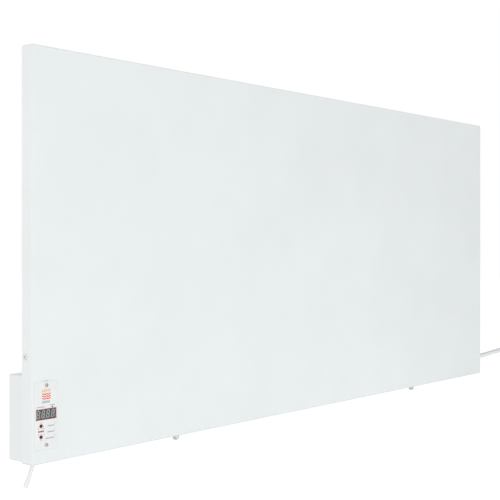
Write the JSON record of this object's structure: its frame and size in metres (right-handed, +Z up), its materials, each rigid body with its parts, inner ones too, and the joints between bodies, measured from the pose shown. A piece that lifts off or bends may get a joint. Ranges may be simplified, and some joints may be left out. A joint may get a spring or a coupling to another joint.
{
  "type": "infrared panel heater",
  "caption": "Slim wall-hung infrared heating panel with a thermostat box and display at its lower corner, an air sensor below it, hook brackets and a coiled mains lead with its plug.",
  "frame": {"origin": "on the face of the wall, at the middle of the brackets' four wall holes", "axes": "+X along the panel to the right as seen from the room, +Y into the wall, +Z up"},
  "size_m": [1.55, 0.0521, 0.6448],
  "materials": {
    "white_coating": "fine satin powder coating",
    "bracket_coating": "satin powder coating",
    "zinc_steel": "zinc plated",
    "rivet_aluminium": "plain rivet aluminium",
    "film_plastic": "clear carrier film",
    "copper_strip": "bare copper",
    "carbon_print": "printed carbon",
    "foil": "bright foil",
    "insulation": "pressed mineral fibre",
    "limiter_case": "plated can",
    "overlay_film": "satin printed film",
    "tinted_window": "smoked clear plastic",
    "display_case": "grey display face",
    "segment_diffuser": "unlit segments",
    "board": "solder mask",
    "nylon_white": "nylon",
    "key_black": "black key cap",
    "lamp_clear": "light pipe",
    "relay_case": "blue case",
    "module_case": "potted black case",
    "capacitor_sleeve": "shrink sleeve",
    "terminal_green": "terminal plastic",
    "box_plastic": "moulded white",
    "grommet_rubber": "soft grey",
    "lead_sheath": "white sheath",
    "sensor_sheath": "pale grey sheath",
    "plug_plastic": "moulded white",
    "plug_nickel": "nickel plated",
    "wire_insulation": "silicone insulation",
    "earth_insulation": "silicone insulation"
  },
  "bodies": {
    "heater": {"front_tray": "white_coating", "rear_cover": "white_coating", "side_rivets_low": "white_coating", "side_rivets_high": "white_coating", "weld_nuts": "zinc_steel", "heating_film": "film_plastic", "busbars": "copper_strip", "heating_strips": "carbon_print", "reflector_foil": "foil", "insulation_board": "insulation", "overheat_limiter": "limiter_case", "control_box": "white_coating", "box_posts": "zinc_steel", "box_screws": "zinc_steel", "sensor_grommet": "grommet_rubber", "control_overlay": "overlay_film", "display_window": "tinted_window", "display_module": "display_case", "display_segments": "segment_diffuser", "control_pcb": "board", "overlay_screws": "zinc_steel", "pcb_spacers": "nylon_white", "pcb_nuts": "zinc_steel", "switch_bodies": "module_case", "status_led": "lamp_clear", "relay": "relay_case", "power_module": "module_case", "filter_capacitor": "capacitor_sleeve", "board_terminals": "terminal_green", "terminal_box": "box_plastic", "terminal_box_cover": "box_plastic", "lid_screws": "zinc_steel", "wire_grommet": "grommet_rubber", "terminal_block": "nylon_white", "earth_stud": "zinc_steel", "earth_nut": "zinc_steel", "cord_gland": "box_plastic", "gland_nut": "box_plastic", "strain_relief": "lead_sheath", "mains_lead_tail": "lead_sheath", "sensor_lead": "sensor_sheath", "sensor_tip": "sensor_sheath", "mains_lead": "lead_sheath", "mains_lead_coil": "lead_sheath", "cord_tie": "nylon_white", "plug_body": "plug_plastic", "plug_pins": "plug_nickel", "plug_earth_clips": "plug_nickel", "wall_bracket_left": "bracket_coating", "wall_bracket_right": "bracket_coating", "hanger_plates": "zinc_steel", "hanger_rivets": "rivet_aluminium", "bolt_washers": "zinc_steel", "bracket_bolts": "zinc_steel", "supply_wires": "wire_insulation", "earth_wire": "earth_insulation", "film_wires": "wire_insulation", "lead_cores": "wire_insulation"},
    "up_key": {"up_button": "key_black"},
    "down_key": {"down_button": "key_black"}
  },
  "joints": [
    {"name": "up_press", "type": "slide", "parent": "heater", "child": "up_key", "axis": [0, 1, 0], "range_m": [0, 0.0006], "stiffness_N_per_m": 1200},
    {"name": "down_press", "type": "slide", "parent": "heater", "child": "down_key", "axis": [0, 1, 0], "range_m": [0, 0.0006], "stiffness_N_per_m": 1200}
  ]
}
